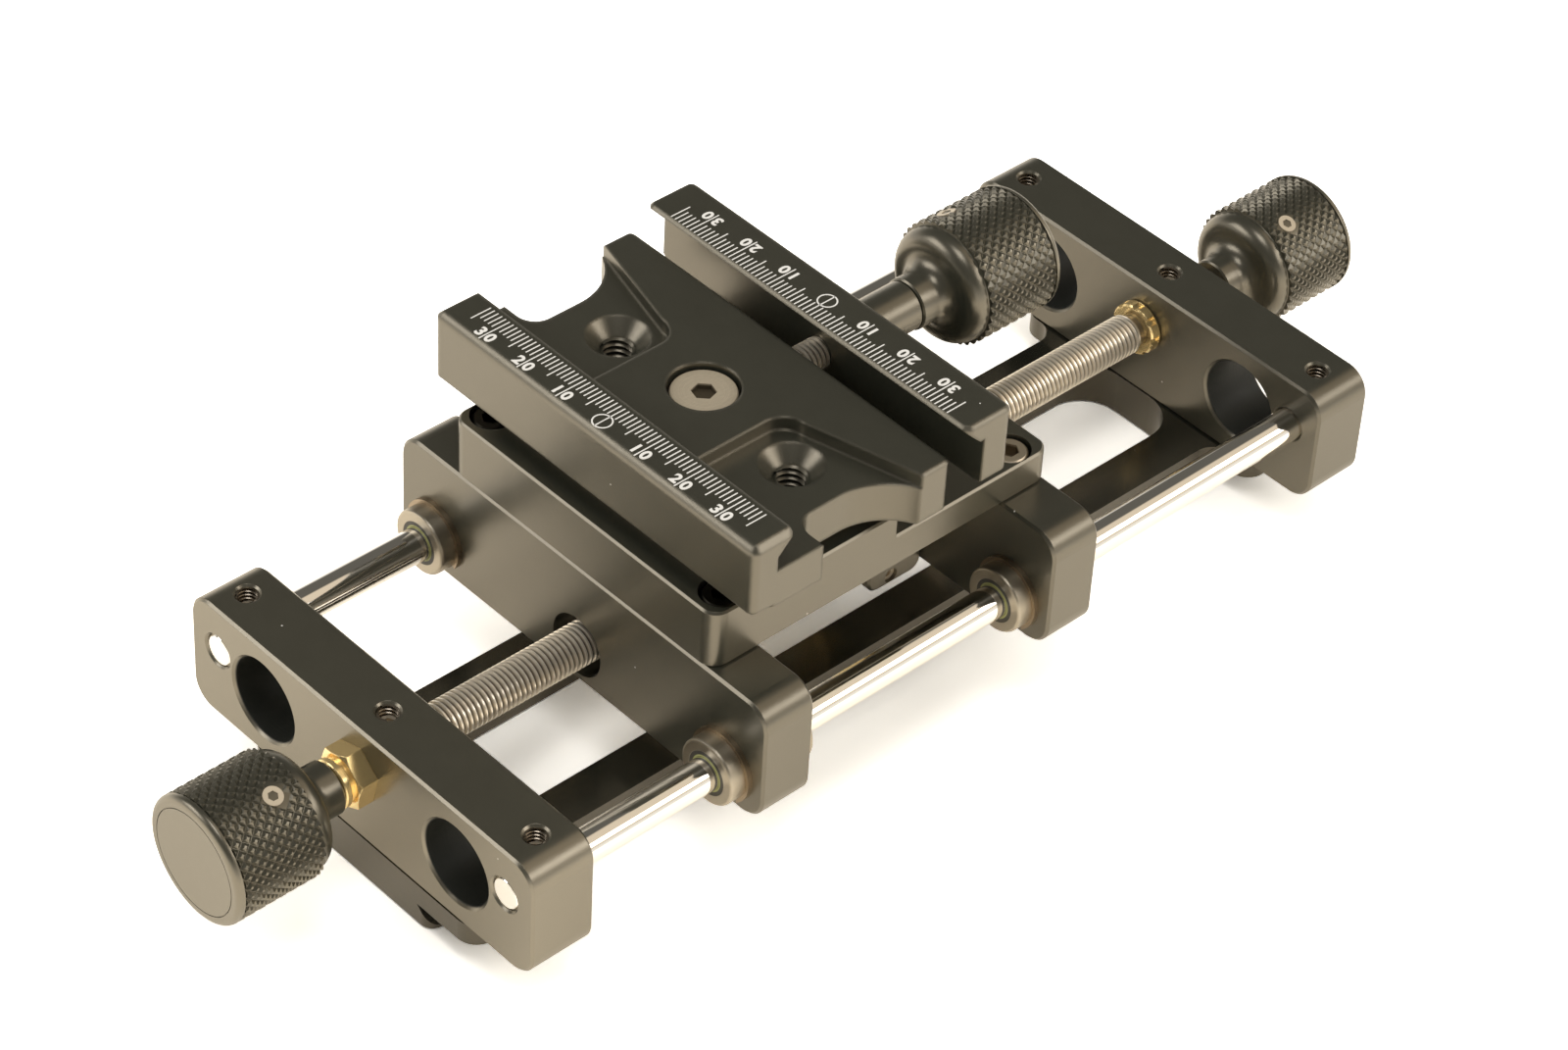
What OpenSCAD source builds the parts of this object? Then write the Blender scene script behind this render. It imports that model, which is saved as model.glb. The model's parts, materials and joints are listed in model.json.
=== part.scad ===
// Macro focusing rail: a carriage on two shafts, moved by a lead screw, with a jaw clamp on top.
// Millimetres. X runs along the lead screw, Y across the rail, Z up from the underside of the foot.

/* [Rail frame] */
// clear distance between the two end plates
rail_gap = 175.2; // [165:0.2:260]
// thickness of each end plate along X
plate_t = 13.2; // [11:0.1:18]
// step from each end of a crossbar in to the end of an end plate
plate_in = 2.5; // [1.5:0.1:5]
// height of each end plate
plate_h = 24.5; // [23:0.1:32]
// corner radius of the end plates and crossbars
plate_r = 5; // [2:0.1:5.5]
// edge break on machined edges
ease = 0.5; // [0.2:0.05:0.7]
// depth of the screw and shaft axes below the top of the end plates
axis_drop = 9.5; // [8.5:0.1:10.5]
// step from each end of a crossbar in to the axis of its shaft
shaft_in = 9.7; // [9.2:0.1:11]
// radius of the two shafts
shaft_r = 3.175; // [2.5:0.005:3.6]
// radius of the lightening bores
light_r = 8.1; // [5:0.1:8.6]
// step from each shaft in to the axis of its lightening bore
light_in = 12.5; // [12.4:0.1:14]
// depth of the lightening bores below the top
light_drop = 12.1; // [11:0.1:12.5]

/* [Base plate] */
// half width of the dovetail foot at its widest
foot_half = 19.2; // [18:0.1:20.5]
// height of the dovetail foot
foot_h = 4.2; // [3.5:0.1:5]
// straight edge at the bottom of the dovetail foot
foot_edge = 0.6; // [0.4:0.1:1]
// thickness of the upper part of the base
base_t = 4.5; // [3.5:0.1:7]
// half width of the wide ends of the base
base_half = 30.4; // [27:0.1:38]
// half width across the side bars
side_half = 21.2; // [20.8:0.1:24]
// half width of the long window
window_half = 12.4; // [9:0.1:13]
// corner radius at the window ends
window_r = 8; // [3:0.1:8.5]
// plan corner radius of the wide ends
base_r = 4.2; // [2:0.1:5]

/* [Carriage] */
// place of the front face of the carriage along X at rest
carriage_x = -52.8; // [-58:0.1:-48]
// length of the carriage over both crossbars
carriage_l = 78.8; // [77:0.1:92]
// thickness of each crossbar along X
bar_t = 11; // [9:0.1:12]
// width of the crossbars
bar_w = 95.4; // [92:0.2:112]
// height of the crossbars
bar_h = 25.2; // [24.5:0.1:27]
// height of the crossbar tops above the end plate tops
bar_rise = 8.1; // [7.9:0.1:10]
// radius of the screw clearance holes in the crossbars
bar_hole_r = 6.2; // [5:0.1:9]
// outer radius of the linear bearings
bearing_r = 6.35; // [5.5:0.01:6.4]
// length of the linear bearings
bearing_l = 19; // [16:0.1:21]
// half width of the carriage plate
deck_half = 34; // [33.5:0.1:42]
// thickness of the carriage plate
deck_t = 6.9; // [6:0.1:9]
// length of the raised step of the carriage plate
step_l = 41.8; // [40:0.1:46]
// height of the raised step
step_h = 5.2; // [2:0.1:7]
// plan corner radius of the carriage plate
deck_r = 3.2; // [2:0.1:4.5]

/* [Lead screw and knobs] */
// radius of the lead screw over its thread
lead_r = 3.96; // [3.4:0.01:4.4]
// radius of the plain journals of the lead screw
journal_r = 3.1; // [2.4:0.01:3.2]
// radius of the knurled barrels
knob_r = 12; // [11.6:0.1:14]
// radius of the smooth bell of each knob
bell_r = 11.2; // [9:0.1:11.4]
// radius of the knob necks
neck_r = 5; // [4.4:0.1:5.4]
// whole length of each knob
knob_l = 27.6; // [26:0.1:36]
// distance from the neck to the start of the knurl
bell_l = 9.8; // [9.6:0.1:11]
// gap from an end plate to its knob
knob_gap = 6.1; // [6:0.1:10]
// width across the flats of the brass hexagon
hex_af = 10.2; // [10:0.1:12]

/* [Clamp] */
// half length of the clamp along Y
clamp_half = 40.8; // [40:0.1:44]
// distance of the clamp behind the front face of the carriage
clamp_inset = 1.9; // [1:0.1:4]
// length of the clamp body along X
body_l = 44.7; // [44:0.1:47]
// height of the spacer under the clamp
riser_h = 3; // [1.5:0.1:6]
// height of the clamp body from its underside to its deck
body_h = 10.8; // [10.4:0.1:14]
// height of the jaws above the deck
jaw_rise = 4.4; // [3:0.1:5]
// depth of the two end pockets below the deck
pocket_d = 2.8; // [1:0.1:3]
// width of the fixed jaw at its top
fixed_w = 8.7; // [8:0.1:10]
// opening between the body and the moving jaw at rest
jaw_gap = 7.9; // [4:0.1:8.5]
// thickness of the leg of the moving jaw
leg_t = 6.3; // [5.5:0.1:8]
// reach of the moving lip over the gap
lip_reach = 4.5; // [2.5:0.1:5]
// height of the clamp screw axis above the underside of the body
screw_up = 4.6; // [4.5:0.1:5]
// radius of the clamp screw
clamp_r = 2.95; // [2.2:0.01:3.1]
// radius of the threaded holes in the deck
tap_r = 3.1; // [2.4:0.05:3.3]

/* [Hidden] */
$fn = 96;
black = [0.16, 0.15, 0.14];
steel = [0.72, 0.71, 0.68];
brass = [0.83, 0.62, 0.28];
bronze = [0.70, 0.45, 0.28];
lime = [0.72, 0.76, 0.42];
sides = [-1, 1];

// cutting overrun, joint overlap and fits
over = 1;
lap = 0.01;
slide_fit = 0.05;
press_fit = 0.02;
fine = 0.15;
small = 0.3;

// heights
base_h = foot_h + base_t;
plate_top = base_h + plate_h;
axis_z = plate_top - axis_drop;
light_z = plate_top - light_drop;
bar_top = plate_top + bar_rise;
bar_mid_z = bar_top - bar_h / 2;
deck_z = bar_top + deck_t;
step_z = deck_z + step_h;
riser_z = step_z + riser_h;
clamp_z = riser_z + body_h;
pocket_z = clamp_z - pocket_d;
jaw_z = clamp_z + jaw_rise;
spindle_z = riser_z + screw_up;

// places across Y
plate_w = bar_w - 2 * plate_in;
shaft_y = bar_w / 2 - shaft_in;
light_y = shaft_y - light_in;

// places along X
half_gap = rail_gap / 2;
end_x = half_gap + plate_t;
plate_mid = half_gap + plate_t / 2;
carriage_end = carriage_x + carriage_l;
rear_bar_x = carriage_end - bar_t;
clamp_x0 = carriage_x + clamp_inset;
clamp_x1 = clamp_x0 + body_l;
leg_x0 = clamp_x1 + jaw_gap;
leg_x1 = leg_x0 + leg_t;
knob_x = end_x + knob_gap;

// screws of the base and the end plates
m5_r = 2.5;
m4_r = 2;
screw_gap = 0.3;
foot_r = 2.5;
base_screw_y = 10.5;
base_head_r = 4.2;
base_head_h = 4;
base_floor = 0.9;
base_seat = foot_h + base_floor;
base_screw_deep = 8;
base_screw_top = base_h + base_screw_deep;
hex_share = 0.54;
socket_share = 0.6;
light_ease = 0.6;
bore_ease = 0.4;
top_tap_r = 2.08;
top_tap_ease = 0.4;
tap_ease = 0.6;
set_depth = 3.2;
middle_set_depth = 2.6;
shaft_inset = 0.3;
shaft_ease = 0.4;

// brass bushings of the lead screw
bush_r = 4.9;
bush_bore = journal_r + slide_fit;
hex_h = 3.7;
hex_turn = 18;
hex_crown = 2.9;
hex_crown_share = 0.44;
groove_r = 4.05;
groove_h = 0.9;
ring_r = 4.64;
ring_h = 1.2;
collar_r = 5.25;
collar_h = 2.4;
collar_notches = 8;
notch_r = 0.9;
notch_out = 0.35;
notch_left = 0.5;

// knobs
flare_r = 3.1;
flare_s = 3.2;
dome_r = 3.1;
knurl_ease = 0.4;
rim_w = 1.7;
rim_groove_w = 0.3;
rim_groove_d = 0.45;
rim_round = 1.2;
cap_r = 9.85;
cap_line_w = 0.16;
cap_line_d = 0.35;
arc_steps = 9;
grub_r = 1.8;
grub_s = 14.8;
grub_sink = 0.35;
grub_tilt = 24;
clamp_grub_turn = 150;
knob_bore_l = 20;
tip_gap = 1;
barrel_s = knob_l - rim_w;
screw_tip = knob_x + knob_bore_l - tip_gap;

// carriage
deck_over = 0.7;
deck_screw_in = 4.4;
deck_screw_y = deck_half - deck_screw_in;
deck_screw_deep = 8.5;
deck_head_r = 3.5;
deck_head_h = 4;
deck_head_gap = 0.5;
head_sink = 0.4;
head_ease = 0.4;
deck_ease = 0.4;
front_screw_x = carriage_x + bar_t / 2;
rear_screw_x = rear_bar_x + bar_t / 2;
rear_seat = deck_z - deck_head_h - head_sink;
front_seat = step_z - deck_head_h - head_sink;
screw_foot = bar_top - deck_screw_deep;
tap_foot = screw_foot - tip_gap;
bearing_out = (bearing_l - bar_t) / 2;
bearing_ease = 0.5;
ring_groove_d = 0.45;
ring_groove_r = bearing_r - ring_groove_d;
snap_w = 0.75;
snap_r = bearing_r + snap_w;
snap_t = 0.9;
snap_open = 4.4;
snap_turns = [140, 160];
seal_r = 4.3;
seal_t = 0.5;

// nut block under the carriage plate
block_l = 13;
block_half = 16;
block_drop = 26.7;
block_r = 2.6;
block_x0 = rear_bar_x - block_l;
block_x1 = rear_bar_x;
block_z0 = bar_top - block_drop;
nut_r = 5.8;
nut_flange_r = 8.6;
nut_flange_t = 2.2;
lock_r = 1.5;
lock_from = 5.5;
lock_up = 2;
lock_l = 6.4;
lock_sink = 0.8;
lock_x = block_x0 + lock_from;
lock_z = block_z0 + lock_up;
block_screw_y = 10;
block_screw_x = (block_x0 + block_x1) / 2;
block_seat = deck_z - deck_head_h - head_sink;

// spacer under the clamp
riser_l = 35;
riser_inset = 3.9;
riser_edge = 7.8;
riser_r = 3;
riser_x0 = clamp_x0 + riser_inset;

// clamp body
lip_edge = 0.7;
lip_foot = 0.3;
jaw_top_r = 2;
jaw_end_ease = 1.2;
body_corner = 1.4;
body_inset = 4;
fixed_in = clamp_x0 + fixed_w;
under_drop = jaw_rise - lip_edge - lip_foot;
under_x = fixed_in - under_drop;
notch_depth = 7.4;
notch_from = 15.6;
notch_corner = 4;
notch_flare = 12.7;
notch_swing = 26.4;
notch_floor = clamp_half - notch_depth;
notch_x0 = clamp_x0 + notch_from;
flare_x = clamp_x0 + notch_swing;
ridge_w = 6.2;
ridge_wide = 12.6;
pocket_r = 4.5;
ridge_x0 = clamp_x1 - ridge_wide;
ridge_x1 = clamp_x1 - ridge_w;
hole_from = 25.5;
hole_x = clamp_x0 + hole_from;
hole_in = 18.6;
hole_y = clamp_half - hole_in;
pocket_lead = 8.7;
pocket_in = hole_y - pocket_lead;
riser_half = hole_y + riser_edge;
sink_r = 5.85;
head_r = 5.92;
head_edge = 0.2;
head_gap = 0.55;
head_down = 1;
head_h = 2;
head_seat = clamp_z - head_down - head_h;
key_r = 2.3;
key_turn = 15;
centre_screw_deep = 4.5;
screw_in = 15;

// moving jaw
jaw_foot_gap = 1.2;
jaw_foot = riser_z + jaw_foot_gap;
jaw_r = 1.6;
jaw_ease = 0.6;
spindle_ease = 0.3;
sleeve_l = 14.4;
sleeve_r = neck_r - small;
sleeve_x1 = leg_x1 + sleeve_l;
clamp_knob_x = sleeve_x1 + slide_fit;

// side outline of a block, length l, with its end edges broken by c
module eased_section(a, l, c) {
  x = a / 2;
  y = l / 2;
  polygon([
    [-x, c - y], [c - x, -y], [x - c, -y], [x, c - y],
    [x, y - c], [x - c, y], [c - x, y], [-x, y - c]
  ]);
}

// centred prism along Z with corner radius r and end edges broken by c
module eased_prism(a, b, l, r, c) {
  y = l / 2;
  rotate([90, 0, 0]) linear_extrude(b - 2 * r, center = true) eased_section(a, l, c);
  rotate([90, 0, 90]) linear_extrude(a - 2 * r, center = true) eased_section(b, l, c);
  for (sx = sides) {
    for (sy = sides) {
      translate([sx * (a / 2 - r), sy * (b / 2 - r), 0]) rotate_extrude() {
        polygon([[0, -y], [r - c, -y], [r, c - y], [r, y - c], [r - c, y], [0, y]]);
      }
    }
  }
}

// the same prism lying along X, a across Y and b up Z
module eased_bar(a, b, l, r, c) {
  rotate([90, 0, 90]) eased_prism(a, b, l, r, c);
}

module rounded_rect(a, b, r) {
  square([a, b - 2 * r], center = true);
  square([a - 2 * r, b], center = true);
  for (sx = sides) {
    for (sy = sides) {
      translate([sx * (a / 2 - r), sy * (b / 2 - r)]) circle(r);
    }
  }
}

module rod_x(r, x0, x1) {
  translate([x0, 0, 0]) rotate([0, 90, 0]) cylinder(r = r, h = x1 - x0);
}

// rod along X with eased ends
module eased_rod_x(r, x0, x1, c) {
  l = x1 - x0;
  translate([x0, 0, 0]) rotate([0, 90, 0]) rotate_extrude() {
    polygon([[0, 0], [r - c, 0], [r, c], [r, l - c], [r - c, l], [0, l]]);
  }
}

// socket set screw along Z with its socket at the top
module set_screw(r, z0, z1) {
  difference() {
    translate([0, 0, z0]) cylinder(r = r, h = z1 - z0);
    translate([0, 0, z1 - r]) cylinder(r = r * hex_share, h = r + over, $fn = 6);
  }
}

// socket head screw along Z: thread r from tip to seat, head hr by hh
module cap_screw(seat, tip, r, hr, hh) {
  difference() {
    union() {
      translate([0, 0, tip]) cylinder(r = r, h = seat - tip + lap);
      translate([0, 0, seat]) cylinder(r = hr, h = hh - head_ease);
      translate([0, 0, seat + hh - head_ease]) cylinder(r1 = hr, r2 = hr - head_ease, h = head_ease);
    }
    translate([0, 0, seat + hh * (1 - socket_share)]) cylinder(r = hr * hex_share, h = hh, $fn = 6);
  }
}

// Base

module foot_profile() {
  top = foot_half - (foot_h - foot_edge);
  z = foot_h + lap;
  polygon([
    [-foot_half, 0], [foot_half, 0], [foot_half, foot_edge], [top, foot_h],
    [top, z], [-top, z], [-top, foot_h], [-foot_half, foot_edge]
  ]);
}

module inner_fillet(r) {
  difference() {
    square(r);
    translate([r, r]) circle(r);
  }
}

module base_plan() {
  square([2 * half_gap, 2 * side_half], center = true);
  for (s = sides) {
    translate([s * plate_mid, 0]) rounded_rect(plate_t, 2 * base_half, base_r);
    for (t = sides) {
      translate([s * half_gap, t * side_half]) mirror([s > 0 ? 1 : 0, 0]) mirror([0, t < 0 ? 1 : 0]) {
        inner_fillet(base_r);
      }
    }
  }
}

module at_base_screws() {
  for (s = sides) {
    for (t = sides) {
      translate([s * plate_mid, t * base_screw_y, 0]) children();
    }
  }
}

module base_plate() {
  color(black) difference() {
    union() {
      translate([0, 0, foot_h]) linear_extrude(base_t) base_plan();
      intersection() {
        rotate([90, 0, 90]) linear_extrude(2 * end_x, center = true) foot_profile();
        linear_extrude(base_h) rounded_rect(2 * end_x, 2 * foot_half, foot_r);
      }
    }
    translate([0, 0, -over]) linear_extrude(base_h + 2 * over) {
      rounded_rect(2 * half_gap, 2 * window_half, window_r);
    }
    at_base_screws() {
      translate([0, 0, -over]) cylinder(r = m5_r + screw_gap, h = base_h + 2 * over);
      translate([0, 0, -over]) cylinder(r = base_head_r + screw_gap, h = base_seat + over);
    }
  }
}

module base_screws() {
  color(steel) at_base_screws() difference() {
    union() {
      translate([0, 0, base_seat - base_head_h]) cylinder(r = base_head_r, h = base_head_h);
      translate([0, 0, base_seat - lap]) cylinder(r = m5_r, h = base_screw_top - base_seat + lap);
    }
    translate([0, 0, base_seat - base_head_h - over]) {
      cylinder(r = base_head_r * hex_share, h = base_head_h * socket_share + over, $fn = 6);
    }
  }
}

// end plate centred on its own middle, facing along X
module end_plate() {
  wide = plate_t / 2 + over;
  difference() {
    translate([0, 0, base_h + plate_h / 2]) eased_bar(plate_w, plate_h, plate_t, plate_r, ease);
    for (t = sides) {
      translate([0, t * shaft_y, axis_z]) rod_x(shaft_r + press_fit, -wide, wide);
      translate([0, t * light_y, light_z]) rod_x(light_r, -wide, wide);
      for (s = sides) {
        translate([s * plate_t / 2, t * light_y, light_z]) rotate([0, s * 90, 0]) {
          translate([0, 0, -light_ease]) {
            cylinder(r1 = light_r, r2 = light_r + light_ease + over, h = light_ease + over);
          }
        }
        translate([s * plate_t / 2, t * shaft_y, axis_z]) rotate([0, s * 90, 0]) {
          translate([0, 0, -bore_ease]) {
            cylinder(r1 = shaft_r, r2 = shaft_r + bore_ease + over, h = bore_ease + over);
          }
        }
      }
      translate([0, t * base_screw_y, base_h - over]) cylinder(r = m5_r, h = base_screw_deep + 2 * over);
    }
    translate([0, 0, axis_z]) rod_x(bush_r, -wide, wide);
    for (t = [-1, 0, 1]) {
      translate([0, t * shaft_y, axis_z]) cylinder(r = top_tap_r, h = axis_drop + over);
      translate([0, t * shaft_y, plate_top - top_tap_ease]) {
        cylinder(r1 = top_tap_r, r2 = top_tap_r + top_tap_ease + over, h = top_tap_ease + over);
      }
    }
  }
}

module near_end_plate() {
  color(black) translate([-plate_mid, 0, 0]) end_plate();
}

module far_end_plate() {
  color(black) translate([plate_mid, 0, 0]) end_plate();
}

module shaft(y) {
  color(steel) translate([0, y, axis_z]) {
    eased_rod_x(shaft_r, shaft_inset - end_x, end_x - shaft_inset, shaft_ease);
  }
}

module left_shaft() {
  shaft(shaft_y);
}

module right_shaft() {
  shaft(-shaft_y);
}

module plate_set_screws() {
  color(steel) for (s = sides) {
    for (t = sides) {
      translate([s * plate_mid, t * shaft_y, 0]) {
        set_screw(top_tap_r, axis_z + shaft_r, plate_top - set_depth);
      }
    }
    translate([s * plate_mid, 0, 0]) set_screw(top_tap_r, axis_z + bush_r, plate_top - middle_set_depth);
  }
}

// Screw bearings

module hexagon(af) {
  intersection_for(a = [0, 60, 120]) rotate(a) square([af, 2 * af], center = true);
}

module near_bushing() {
  top = hex_h + small;
  ring_z = hex_h + groove_h;
  color(brass) translate([0, 0, axis_z]) difference() {
    union() {
      rod_x(bush_r, -end_x - lap, -half_gap);
      translate([-end_x, 0, 0]) rotate([0, -90, 0]) {
        intersection() {
          linear_extrude(hex_h) rotate(hex_turn) hexagon(hex_af);
          rotate_extrude() {
            polygon([
              [0, 0], [hex_af, 0], [hex_af, hex_h - hex_crown],
              [hex_af * hex_crown_share, top], [0, top]
            ]);
          }
        }
        cylinder(r = groove_r, h = ring_z + lap);
        translate([0, 0, ring_z]) cylinder(r = ring_r, h = ring_h - small);
        translate([0, 0, ring_z + ring_h - small]) cylinder(r1 = ring_r, r2 = ring_r - small, h = small);
      }
    }
    rod_x(bush_bore, -end_x - ring_z - ring_h - over, over - half_gap);
  }
}

module far_bushing() {
  x0 = half_gap - collar_h;
  color(brass) translate([0, 0, axis_z]) difference() {
    union() {
      rod_x(bush_r, half_gap - lap, end_x);
      difference() {
        eased_rod_x(collar_r, x0, half_gap, small);
        for (k = [0:collar_notches - 1]) {
          rotate([k * 360 / collar_notches, 0, 0]) translate([0, 0, collar_r + notch_out]) {
            rod_x(notch_r, x0 - over, half_gap - notch_left);
          }
        }
      }
    }
    rod_x(bush_bore, x0 - over, end_x + over);
  }
}

module lead_screw() {
  l = half_gap - collar_h - over;
  color(steel) translate([0, 0, axis_z]) {
    eased_rod_x(lead_r, small - half_gap, l, ease);
    rod_x(journal_r, -screw_tip, screw_tip);
  }
}

// Knobs

// arc of radius r about [cx, cy] from angle a0 to a1
function arc(cx, cy, r, a0, a1, n = arc_steps) = [
  for (i = [0:n]) let (a = a0 + (a1 - a0) * i / n) [cx + r * cos(a), cy + r * sin(a)]
];

// knob outline as [radius, distance from the neck]
knob_outline = concat(
  [[0, 0], [neck_r - small, 0], [neck_r, small]],
  arc(neck_r + flare_r, flare_s, flare_r, 180, 90),
  arc(bell_r - dome_r, flare_s + flare_r + dome_r, dome_r, 270, 360),
  [[bell_r, bell_l], [knob_r, bell_l + knurl_ease], [knob_r, barrel_s]],
  [[0, barrel_s]]
);

rim_outline = concat(
  [[0, barrel_s], [knob_r - rim_groove_d, barrel_s], [knob_r - rim_groove_d, barrel_s + rim_groove_w]],
  [[knob_r, barrel_s + rim_groove_w]],
  arc(knob_r - rim_round, knob_l - rim_round, rim_round, 0, 90),
  [[cap_r + cap_line_w, knob_l], [cap_r + cap_line_w, knob_l - cap_line_d]],
  [[cap_r, knob_l - cap_line_d], [cap_r, knob_l], [0, knob_l]]
);

// knob on the Z axis with its neck at the origin
module knob_form(grub_turn) {
  difference() {
    rotate_extrude() polygon(knob_outline);
    translate([0, 0, -over]) cylinder(r = journal_r + press_fit, h = knob_bore_l + over);
    rotate(grub_turn) translate([0, 0, grub_s]) rotate([0, 90, 0]) cylinder(r = grub_r, h = knob_r + over);
  }
}

module knob_cap_form() {
  rotate_extrude() polygon(rim_outline);
}

module knob_grub_form(grub_turn) {
  rotate(grub_turn) translate([0, 0, grub_s]) rotate([0, 90, 0]) {
    set_screw(grub_r, journal_r, knob_r - grub_sink);
  }
}

module at_near_knob() {
  translate([-knob_x, 0, axis_z]) rotate([0, -90, 0]) children();
}

module at_far_knob() {
  translate([knob_x, 0, axis_z]) rotate([0, 90, 0]) children();
}

module at_clamp_knob() {
  translate([clamp_knob_x, 0, spindle_z]) rotate([0, 90, 0]) children();
}

module near_knob() {
  color(black) at_near_knob() knob_form(-grub_tilt);
}

module near_knob_cap() {
  color(black) at_near_knob() knob_cap_form();
}

module near_knob_screw() {
  color(steel) at_near_knob() knob_grub_form(-grub_tilt);
}

module far_knob() {
  color(black) at_far_knob() knob_form(180 + grub_tilt);
}

module far_knob_cap() {
  color(black) at_far_knob() knob_cap_form();
}

module far_knob_screw() {
  color(steel) at_far_knob() knob_grub_form(180 + grub_tilt);
}

// Carriage

module crossbar(x0) {
  x1 = x0 + bar_t;
  difference() {
    translate([x0 + bar_t / 2, 0, bar_mid_z]) eased_bar(bar_w, bar_h, bar_t, plate_r, ease);
    for (t = sides) {
      translate([0, t * shaft_y, axis_z]) rod_x(bearing_r + press_fit, x0 - over, x1 + over);
      translate([x0 + bar_t / 2, t * deck_screw_y, tap_foot]) {
        cylinder(r = m4_r, h = bar_top - tap_foot + over);
      }
    }
    translate([0, 0, axis_z]) rod_x(bar_hole_r, x0 - over, x1 + over);
  }
}

module front_crossbar() {
  color(black) crossbar(carriage_x);
}

module rear_crossbar() {
  color(black) crossbar(rear_bar_x);
}

// clearance hole and counterbore for a socket head screw, from its seat up
module screw_cut(seat) {
  translate([0, 0, bar_top - over]) cylinder(r = m4_r + screw_gap, h = seat - bar_top + 2 * over);
  translate([0, 0, seat]) cylinder(r = deck_head_r + deck_head_gap, h = step_z - seat + over);
}

module carriage_plate() {
  l = carriage_l + deck_over;
  h = deck_t + step_h;
  color(black) difference() {
    union() {
      translate([carriage_x + l / 2, 0, bar_top + deck_t / 2]) {
        eased_prism(l, 2 * deck_half, deck_t, deck_r, deck_ease);
      }
      intersection() {
        translate([carriage_x + l / 2, 0, bar_top + h / 2]) {
          eased_prism(l, 2 * deck_half, h, deck_r, deck_ease);
        }
        translate([carriage_x, -deck_half, bar_top]) cube([step_l, 2 * deck_half, h]);
      }
    }
    for (t = sides) {
      translate([rear_screw_x, t * deck_screw_y, 0]) screw_cut(rear_seat);
      translate([front_screw_x, t * deck_screw_y, 0]) screw_cut(front_seat);
      translate([block_screw_x, t * block_screw_y, 0]) screw_cut(block_seat);
    }
    translate([hole_x, 0, deck_z - centre_screw_deep - tip_gap]) {
      cylinder(r = m5_r, h = step_h + centre_screw_deep + tip_gap + over);
    }
  }
}

module carriage_screws() {
  color(steel) for (t = sides) {
    translate([rear_screw_x, t * deck_screw_y, 0]) {
      cap_screw(rear_seat, screw_foot, m4_r, deck_head_r, deck_head_h);
    }
    translate([front_screw_x, t * deck_screw_y, 0]) {
      cap_screw(front_seat, screw_foot, m4_r, deck_head_r, deck_head_h);
    }
  }
}

// ball bearing sleeve; x0 is the front face of its crossbar
module bearing(x0, y) {
  r = bearing_r;
  l = bearing_l;
  a = bearing_out;
  e = bearing_ease;
  bore = shaft_r + slide_fit;
  color(steel) translate([x0 - a, y, axis_z]) rotate([0, 90, 0]) rotate_extrude() {
    polygon([
      [bore, seal_t], [seal_r, seal_t], [seal_r, 0], [r - e, 0], [r - fine, fine], [r, e],
      [r, a - snap_t], [ring_groove_r, a - snap_t], [ring_groove_r, a], [r, a],
      [r, l - a], [ring_groove_r, l - a], [ring_groove_r, l - a + snap_t], [r, l - a + snap_t],
      [r, l - e], [r - e, l], [seal_r, l], [seal_r, l - seal_t], [bore, l - seal_t]
    ]);
  }
}

module front_left_bearing() {
  bearing(carriage_x, shaft_y);
}

module front_right_bearing() {
  bearing(carriage_x, -shaft_y);
}

module rear_left_bearing() {
  bearing(rear_bar_x, shaft_y);
}

module rear_right_bearing() {
  bearing(rear_bar_x, -shaft_y);
}

module bearing_seals() {
  color(lime) for (x0 = [carriage_x, rear_bar_x]) {
    for (t = sides) {
      for (x = [0, bearing_l - seal_t]) {
        translate([x0 - bearing_out + x, t * shaft_y, axis_z]) difference() {
          rod_x(seal_r, 0, seal_t);
          rod_x(shaft_r + slide_fit, -over, seal_t + over);
        }
      }
    }
  }
}

// open spring ring from x0, its gap turned by a about the shaft
module snap_ring(x0, y, a) {
  translate([x0, y, axis_z]) difference() {
    rod_x(snap_r, 0, snap_t);
    rod_x(ring_groove_r, -over, snap_t + over);
    rotate([a, 0, 0]) translate([-over, -snap_open / 2, 0]) {
      cube([snap_t + 2 * over, snap_open, snap_r + over]);
    }
  }
}

module snap_rings() {
  color(bronze) for (x0 = [carriage_x, rear_bar_x]) {
    for (k = [0, 1]) {
      snap_ring(x0 - snap_t, -sides[k] * shaft_y, snap_turns[k]);
      snap_ring(x0 + bar_t, -sides[k] * shaft_y, snap_turns[k]);
    }
  }
}

// Lead nut

module nut_block() {
  h = bar_top - block_z0;
  color(black) difference() {
    translate([block_screw_x, 0, (bar_top + block_z0) / 2]) rotate([90, 0, 0]) {
      eased_prism(block_l, h, 2 * block_half, block_r, ease);
    }
    translate([0, 0, axis_z]) rod_x(nut_r + press_fit, block_x0 - over, block_x1 + over);
    for (t = sides) {
      translate([lock_x, t * block_half, lock_z]) rotate([t * 90, 0, 0]) {
        translate([0, 0, -over]) cylinder(r = lock_r, h = lock_sink + lock_l + over);
      }
      translate([block_screw_x, t * block_screw_y, tap_foot]) {
        cylinder(r = m4_r, h = bar_top - tap_foot + over);
      }
    }
  }
}

module nut_block_screws() {
  color(steel) for (t = sides) {
    translate([block_screw_x, t * block_screw_y, 0]) {
      cap_screw(block_seat, screw_foot, m4_r, deck_head_r, deck_head_h);
    }
  }
}

module lead_nut() {
  color(brass) translate([0, 0, axis_z]) difference() {
    union() {
      rod_x(nut_r, block_x0 - lap, block_x1 - small);
      eased_rod_x(nut_flange_r, block_x0 - nut_flange_t, block_x0, deck_ease);
    }
    rod_x(lead_r + slide_fit, block_x0 - nut_flange_t - over, block_x1 + over);
  }
}

module nut_lock_screw() {
  color(steel) for (t = sides) {
    translate([lock_x, t * block_half, lock_z]) rotate([-t * 90, 0, 0]) {
      set_screw(lock_r, -lock_sink - lock_l, -lock_sink);
    }
  }
}

// Clamp

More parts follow.
